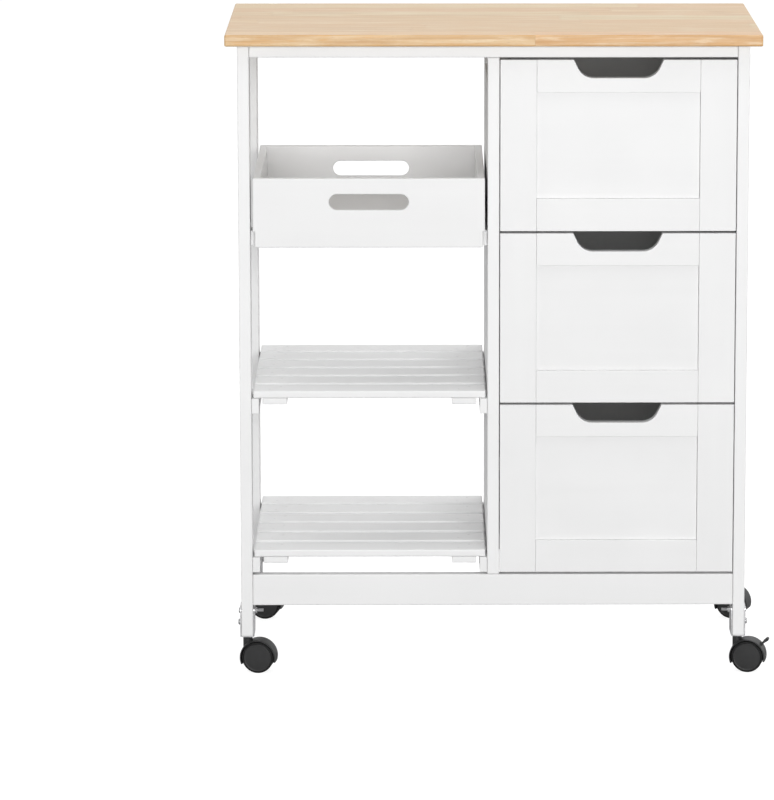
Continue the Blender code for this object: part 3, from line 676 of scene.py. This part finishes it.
def make_drawer_front(drawer):
    """Two stiles, two rails between them and a flat panel set back in their grooves."""
    node = f"{drawer}_front"
    low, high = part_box(node)
    front, back = low.y, high.y
    inner = (low.x + STILE, high.x - STILE)
    left, right = inner[0] + JOINT_GAP, inner[1] - JOINT_GAP
    rail_top = low.z + DRAWER_RAIL
    rail_low = high.z - DRAWER_RAIL

    def board(name, bm, finish="drawer_paint_x"):
        piece(f"{drawer}_{name}", bm, drawer, finish, (node,))

    for side, x0, x1 in (
        ("left", low.x - STILE_LIP, inner[0] - JOINT_GAP),
        ("right", inner[1] + JOINT_GAP, high.x + STILE_LIP),
    ):
        stile = block((x0, front, low.z), (x1, back, high.z), FRONT_ROUND)
        board(f"{side}_stile", stile, "drawer_paint_z")
    board("lower_rail", block((left, front, low.z), (right, back, rail_top), FRONT_ROUND))
    outline = [(left, rail_low), (left, high.z), *grip_points(high.z, (left + right) / 2)]
    outline += [(right, high.z), (right, rail_low)]
    board("upper_rail", prism(outline, front, back, FRONT_ROUND))
    face = front + PANEL_RECESS
    start = (inner[0] - LAP, face, rail_top - LAP)
    end = (inner[1] + LAP, face + PANEL_THICK, rail_low + LAP)
    panel = block(start, end, PANEL_ROUND, 1)
    beside = (inner[1] - GROOVE_BESIDE, rail_top - CLEAR, inner[1] + CLEAR, rail_low + CLEAR)
    over = (inner[0] - CLEAR, rail_top - CLEAR, inner[1] + CLEAR, rail_top + GROOVE_OVER)
    for x0, z0, x1, z1 in (beside, over):
        start, end = (x0, face - CLEAR, z0), (x1, face + GROOVE_DEPTH, z1)
        panel = carved(panel, ("DIFFERENCE", block(start, end, GROOVE_ROUND, 1)))
    board("panel", panel)


# ---------------------------------------------------------------- casters


def caster_frame(corner):
    """The matrix from a caster's own frame to the cart's, and where its axle is in its own."""
    foot = JOINTS[f"{corner}_swivel"]["pos_m"]
    spin = JOINTS[f"{corner}_wheel_spin"]
    along = Vector(spin["axis"]).normalized()
    forward = Vector((along.y, -along.x, 0))
    turn = Matrix((forward, along, (0, 0, 1))).transposed().to_4x4()
    place = Matrix.Translation((foot[0], foot[1], 0)) @ turn
    return place, place.inverted() @ Vector(spin["pos_m"])


def hood_section(limit):
    """The hood and its web across the axle, as (y, radius) points, no wider than limit."""
    fillet_at = (WEB_HALF + WEB_FILLET, HOOD_INNER - WEB_FILLET)
    fillet = arc(fillet_at, WEB_FILLET, math.pi, math.pi / 2, 4)
    lip = arc((HOOD_HALF - 0.0008, HOOD_INNER + 0.0005), 0.0005, -math.pi / 2, 0, 3)
    lip += arc((HOOD_HALF - 0.0011, HOOD_OUTER - 0.0011), 0.0011, 0, math.pi / 2, 5)
    crown = []
    for share in (0.75, 0.5, 0.25):
        crown.append((HOOD_HALF * share, HOOD_OUTER + HOOD_CROWN * (1 - share**2)))
    half = [(WEB_HALF, 0.0030), *fillet, *lip, *crown]
    half = [(min(y, limit), radius) for y, radius in half]
    return half + [(0, HOOD_OUTER + HOOD_CROWN)] + [(-y, radius) for y, radius in reversed(half)]


def make_hood(corner, axle, braked):
    """The moulded hood with its web, neck and hub, open below for the wheels."""
    tip = HOOD_TIP / HOOD_OUTER
    ends = [tip * (1 - math.cos(math.pi / 2 * i / 6)) for i in range(7)]
    between = 44
    first, last = HOOD_FIRST + tip, HOOD_LAST - tip
    angles = [HOOD_FIRST + turn for turn in ends]
    angles += [first + (last - first) * i / between for i in range(1, between)]
    angles += [HOOD_LAST - turn for turn in reversed(ends)]
    rings = []
    for angle in angles:
        near = min(angle - HOOD_FIRST, HOOD_LAST - angle, tip) / tip
        limit = HOOD_HALF - HOOD_TIP * (1 - math.sqrt(max(0.0, 1 - (1 - near) ** 2)))
        rings.append([
            (axle.x + r * math.cos(angle), y, axle.z + r * math.sin(angle))
            for y, r in hood_section(limit)
        ])
    neck = lathe(
        [(NECK_RADIUS - 0.0006, axle.z + 0.008), (NECK_RADIUS, axle.z + 0.009),
         (NECK_RADIUS, NECK_TOP - 0.0026), (NECK_RADIUS - 0.0004, NECK_TOP - 0.0022),
         (NECK_RADIUS - 0.0004, NECK_TOP - 0.0016), (NECK_RADIUS, NECK_TOP - 0.0012),
         (NECK_RADIUS, NECK_TOP - 0.0005), (NECK_RADIUS - 0.0005, NECK_TOP)], 40
    )
    hub = lathe([(HUB[0], -HUB[1]), (HUB[0], HUB[1])], 32, "Y")
    bore = lathe([(BORE_RADIUS, BORE_FLOOR), (BORE_RADIUS, NECK_TOP + CLEAR)], 24)
    hole = lathe([(AXLE_HOLE, -0.02), (AXLE_HOLE, 0.02)], 24, "Y")
    for part in (hub, hole):
        bmesh.ops.translate(part, verts=part.verts, vec=(axle.x, 0, axle.z))
    steps = [("UNION", neck), ("UNION", hub), ("DIFFERENCE", bore), ("DIFFERENCE", hole)]
    if braked:
        slot = block((-0.0026, -0.0045, -0.0024), (0.0026, 0.0045, 0.0024), 0.0005, 2)
        bmesh.ops.transform(slot, matrix=pedal_frame(corner), verts=slot.verts)
        steps.append(("DIFFERENCE", slot))
    return carved(skin(rings), *steps)


def wheel_profile():
    """One wheel from its inner hub round the tread to the middle of its disc, as (radius, y)."""
    shoulder = WHEEL_OUTER - 0.0009
    tread_in = arc((WHEEL_RADIUS - 0.0016, WHEEL_INNER + 0.0016), 0.0016, -math.pi / 2, 0, 5)
    tread_out = arc((WHEEL_RADIUS - 0.0011, shoulder - 0.0011), 0.0011, 0, math.pi / 2, 5)
    rim = [(0.01805, WHEEL_OUTER - 0.0010), (0.01705, WHEEL_OUTER)]
    return [
        (AXLE_HOLE, WHEEL_INNER), (0.0052, WHEEL_INNER), (0.0056, WHEEL_INNER + 0.0018),
        (0.0150, WHEEL_INNER + 0.0018), (0.0158, WHEEL_INNER), *tread_in,
        (WHEEL_RADIUS + 0.00002, (WHEEL_INNER + shoulder) / 2), *tread_out,
        (0.01855, shoulder), (0.01850, shoulder - 0.0010), (0.01805, shoulder - 0.0010), *rim,
        (0.01650, WHEEL_OUTER - 0.00002), (0.01615, WHEEL_OUTER - 0.00030),
        (0.0110, WHEEL_OUTER - 0.00012), (0.0040, WHEEL_OUTER - 0.00008), (0.0008, WHEEL_OUTER),
    ]


def make_wheels(corner, place, axle):
    """Two wheels and the axle they turn on; the tread is rubber and the rest nylon."""
    body, node = f"{corner}_wheels", f"{corner}_caster_wheels"
    place = place @ Matrix.Translation(axle)
    finishes = ("wheel_nylon", "tread_rubber")
    for which, sign in (("outer", -1), ("inner", 1)):
        bm = lathe([(radius, sign * y) for radius, y in wheel_profile()], 72, "Y")
        for face in bm.faces:
            middle = face.calc_center_median()
            face.material_index = int(math.hypot(middle.x, middle.z) > TREAD_FROM)
        piece(f"{corner}_{which}_wheel", bm, body, finishes, (node,), place, 40)
    end = WHEEL_OUTER - 0.0004
    rod = [(AXLE_RADIUS - AXLE_BEVEL, -end), (AXLE_RADIUS, AXLE_BEVEL - end),
           (AXLE_RADIUS, end - AXLE_BEVEL), (AXLE_RADIUS - AXLE_BEVEL, end)]
    rod = lathe(rod, 24, "Y")
    piece(f"{corner}_axle", rod, body, "stem_steel", (node,), place)


def pedal_frame(corner):
    """The matrix from a pedal's frame, flat along +X from its pivot, to its caster's frame."""
    place, axle = caster_frame(corner)
    pivot = place.inverted() @ Vector(JOINTS[f"{corner}_brake"]["pos_m"])
    angle = math.atan2(pivot.z - axle.z, pivot.x - axle.x)
    return Matrix.Translation(pivot) @ Matrix.Rotation(-angle, 4, "Y")


def make_pedal(corner, place):
    """A brake pedal: a round barrel, a waisted arm and a thicker tip with three grip ribs."""
    barrel = arc((0, 0), 0.0017, math.radians(50), math.radians(310), 14)
    under = [(0.0040, -0.0012), (0.0070, -0.0013), (0.0098, -0.0019)]
    tip = arc((0.0114, 0.0), 0.0021, math.radians(-85), math.radians(80), 10)
    ribs = []
    for x in (0.0108, 0.0090, 0.0072):
        ribs += [(x + 0.0006, 0.0015), (x + 0.0003, 0.0020)]
        ribs += [(x - 0.0003, 0.0020), (x - 0.0006, 0.0015)]
    outline = barrel + under + tip + ribs + [(0.0040, 0.0011)]
    bm = prism(outline, -PEDAL_WIDTH / 2, PEDAL_WIDTH / 2, PEDAL_ROUND)
    place = place @ pedal_frame(corner)
    node = f"{corner}_brake_pedal"
    piece(f"{corner}_pedal_lever", bm, f"{corner}_pedal", "black_nylon", (node,),
          place, 50)


def make_bracket(corner):
    """The bent steel strap round the leg's foot with its bolts, a nut on the upper one."""
    node = f"{corner}_caster_bracket"
    low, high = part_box(node)
    middle = (low + high) / 2
    half, reach = (high.y - low.y) / 2, (high.x - low.x) / 2

    # The outside of the strap as (x, z), down one side, round both bends and up the other
    path, widths = [], []
    for i in range(7):
        turn = math.pi / 2 * i / 6
        path.append((reach, high.z - PLATE_CORNER * (1 - math.cos(turn))))
        widths.append(half - PLATE_CORNER * (1 - math.sin(turn)))
    path.append((reach, high.z - 2 * PLATE_CORNER))
    bend_at = (reach - PLATE_BEND, low.z + PLATE_BEND)
    path += arc(bend_at, PLATE_BEND, 0, -math.pi / 2, 5)
    widths += [half] * (len(path) - len(widths))
    path += [(-x, z) for x, z in reversed(path)]
    widths += widths[::-1]
    rings = []
    for i, ((x, z), width) in enumerate(zip(path, widths)):
        before, after = path[max(i - 1, 0)], path[min(i + 1, len(path) - 1)]
        run = Vector((after[0] - before[0], after[1] - before[1])).normalized()
        out_x = middle.x + x
        in_x, in_z = out_x + run.y * PLATE, z - run.x * PLATE
        rings.append([
            (out_x, middle.y - width, z), (out_x, middle.y + width, z),
            (in_x, middle.y + width, in_z), (in_x, middle.y - width, in_z),
        ])
    hole = lathe([(STEM_HOLE, low.z - 0.01), (STEM_HOLE, low.z + 0.01)], 32)
    bmesh.ops.translate(hole, verts=hole.verts, vec=(middle.x, middle.y, 0))
    strap = carved(skin(rings), ("DIFFERENCE", hole))

    side = Vector((1 if corner.endswith("right") else -1, 0, 0))
    spots = [Vector((middle.x, middle.y + along, height)) for height, along in BOLTS]
    bolts = []
    for spot in spots:
        bolts.append(fastener_head(facing(spot + side * reach, side), *BRACKET_BOLT, "hex", 36))
    nut = make_nut(facing(spots[0] - side * reach, -side))
    name = f"{corner}_bracket"
    piece(f"{name}_strap", strap, "cart", "zinc_steel", (node,), sharp_over=40)
    piece(f"{name}_bolts", merged(bolts), "cart", "stem_steel", sharp_over=40)
    piece(f"{name}_nut", nut, "cart", "zinc_steel", sharp_over=40)


def make_nut(place):
    """A hexagon nut on a washer, with the long end of the bolt standing out of it."""
    steps = 36
    washer = lathe([(WASHER_RADIUS, -0.0003), (WASHER_RADIUS, 0.0005)], steps)
    rings = []
    for radius, height in ((0.0040, 0.0005), (0.0040, 0.0023), (0.0036, 0.0026)):
        ring = []
        for turn in turns(steps):
            reach = hexagon(radius * math.cos(math.pi / 6), turn)
            ring.append((reach * math.cos(turn), reach * math.sin(turn), height))
        rings.append(ring)
    thread = [(THREAD_RADIUS, 0.0020)]
    for i in range(9):
        thread.append((THREAD_RADIUS, 0.0031 + THREAD_PITCH * i))
        thread.append((THREAD_CORE, 0.0035 + THREAD_PITCH * i))
    end = lathe(thread + [(THREAD_RADIUS, 0.0103), (0.0015, 0.0108)], 24)
    bm = merged([washer, skin(rings), end])
    bmesh.ops.transform(bm, matrix=place, verts=bm.verts)
    return bm


def make_caster(corner):
    """One caster with its bracket, and with its brake pedal if it has one."""
    place, axle = caster_frame(corner)
    braked = f"{corner}_brake" in JOINTS
    hood = make_hood(corner, axle, braked)
    node = f"{corner}_caster_housing"
    piece(f"{corner}_hood", hood, f"{corner}_caster", "black_nylon", (node,),
          place, 38)
    make_wheels(corner, place, axle)
    if braked:
        make_pedal(corner, place)
    make_bracket(corner)


# ---------------------------------------------------------------- small fasteners


def make_cleat_screws():
    """Two cross-head screws through each cleat, one into each leg or post behind it."""
    for use in ("tray", "middle_shelf", "lower_shelf"):
        heads = []
        for side, sign in SIDES:
            low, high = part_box(f"{use}_{side}_cleat")
            x = high.x if side == "left" else low.x
            for y in (low.y + CLEAT_SCREW_INSET, high.y - CLEAT_SCREW_INSET):
                place = facing((x, y, (low.z + high.z) / 2), (-sign, 0, 0))
                heads.append(fastener_head(place, *CLEAT_SCREW, "cross", 48))
        name = f"{use}_cleat_screws"
        piece(name, merged(heads), "cart", "zinc_steel", sharp_over=40)


def make_back_panel_nails():
    """Small nails round the back panel's edge."""
    low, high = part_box("drawer_bay_back_panel")
    inset = BACK_NAIL_INSET
    across = [low.x + inset + (high.x - low.x - 2 * inset) * i / 4 for i in range(5)]
    up = [low.z + inset + (high.z - low.z - 2 * inset) * i / 7 for i in range(8)]
    spots = [(x, z) for x in across for z in (up[0], up[-1])]
    spots += [(x, z) for x in (across[0], across[-1]) for z in up[1:-1]]
    nails = []
    for x, z in spots:
        nails.append(fastener_head(facing((x, high.y, z), (0, 1, 0)), *BACK_NAIL, steps=14))
    piece("back_panel_nails", merged(nails), "cart", "zinc_steel", sharp_over=60)


# ---------------------------------------------------------------- what stays as CAD


def finish_cad_nodes():
    """Gives each CAD node the material of its slot, with the grain along its length."""
    tones = random.Random(11)
    for row in frame["record"]["subparts"]:
        name, finish = row["node"], row["material_slot"]
        node = frame["nodes"][name]
        if finish in PAINTS:
            low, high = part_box(name)
            size = high - low
            longest = max(range(3), key=lambda k: size[k])
            finish = f"{finish}_{AXES[longest]}"
        node["tone"] = tones.uniform(-1, 1)
        node.data.materials.clear()
        node.data.materials.append(MATERIALS[finish])


# ---------------------------------------------------------------- floor, light and camera


def make_stage():
    """A wide pale floor in a soft white room, with softboxes all round and one above."""
    bm = bmesh.new()
    bmesh.ops.create_circle(bm, cap_ends=True, segments=96, radius=60.0)
    floor = linked("studio_floor", to_mesh(bm, "studio_floor"))
    g = Graph("studio_floor")
    seen = g.add("LightPath").outputs["Is Camera Ray"]
    g.set(base_color=(0.30, 0.30, 0.30), roughness=0.9, specular_ior_level=0.0)
    g.set(emission_color=(1.0, 1.0, 1.0))
    g.set(emission_strength=g.remap(seen, 0, 1, FLOOR_GLOW[0], FLOOR_GLOW[1]))
    floor.data.materials.append(g.material)

    world = bpy.data.worlds.new("studio")
    bpy.context.scene.world = world
    world.use_nodes = True
    tree = world.node_tree
    tree.nodes.clear()

    def node(kind, *values, **settings):
        made = tree.nodes.new("ShaderNode" + kind)
        for name, value in settings.items():
            setattr(made, name, value)
        for socket, value in zip(made.inputs, values):
            if isinstance(value, bpy.types.NodeSocket):
                tree.links.new(value, socket)
            else:
                socket.default_value = value
        return made.outputs

    side = node("SeparateXYZ", node("TexCoord")["Generated"])
    behind = node("MapRange", side["Y"], 0.1, 0.9, ROOM_LIGHT, BACKDROP_LIGHT)[0]
    above = node("MapRange", side["Z"], 0.2, 1.0, 0.0, CEILING_LIGHT)[0]
    strength = node("Math", behind, above, operation="ADD")[0]
    lit = node("Background", WHITE, strength)[0]
    shown = node("Background", WHITE, 1.0)[0]
    mixed = node("MixShader", node("LightPath")["Is Camera Ray"], lit, shown)[0]
    node("OutputWorld", mixed)

    for name, place, aim, size, power in LAMPS:
        lamp = bpy.data.lights.new(name, "AREA")
        lamp.shape = "RECTANGLE"
        lamp.size, lamp.size_y = size
        lamp.energy = power
        softbox = linked(name, lamp)
        softbox.location = place
        turn = (Vector(aim) - Vector(place)).to_track_quat("-Z", "Y")
        softbox.rotation_euler = turn.to_euler()
        softbox.visible_camera = False
        softbox.visible_glossy = name != "rear_softbox"  # its mirror image would bleach the top
    bpy.context.scene.view_settings.view_transform = "Standard"


def make_camera():
    """The camera that took the photograph."""
    ahead = Vector((
        math.sin(CAMERA_YAW) * math.cos(CAMERA_PITCH),
        math.cos(CAMERA_YAW) * math.cos(CAMERA_PITCH),
        -math.sin(CAMERA_PITCH),
    ))
    level = Vector((math.cos(CAMERA_YAW), -math.sin(CAMERA_YAW), 0))
    up = level.cross(ahead)
    right = level * math.cos(CAMERA_ROLL) + up * math.sin(CAMERA_ROLL)
    above = up * math.cos(CAMERA_ROLL) - level * math.sin(CAMERA_ROLL)
    data = bpy.data.cameras.new("photo_camera")
    data.sensor_width = 36.0
    data.lens = CAMERA_LENS
    data.shift_x, data.shift_y = CAMERA_SHIFT
    data.clip_end = 200.0
    camera = linked("photo_camera", data)
    turn = Matrix((right, above, -ahead)).transposed().to_4x4()
    camera.matrix_world = Matrix.Translation(CAMERA_PLACE) @ turn
    bpy.context.scene.camera = camera


finish_cad_nodes()
for shelf in ("middle", "lower"):
    make_shelf(shelf)
for drawer in DRAWERS:
    make_drawer_front(drawer)
for corner in CORNERS:
    make_caster(corner)
make_cleat_screws()
make_back_panel_nails()
make_stage()
make_camera()
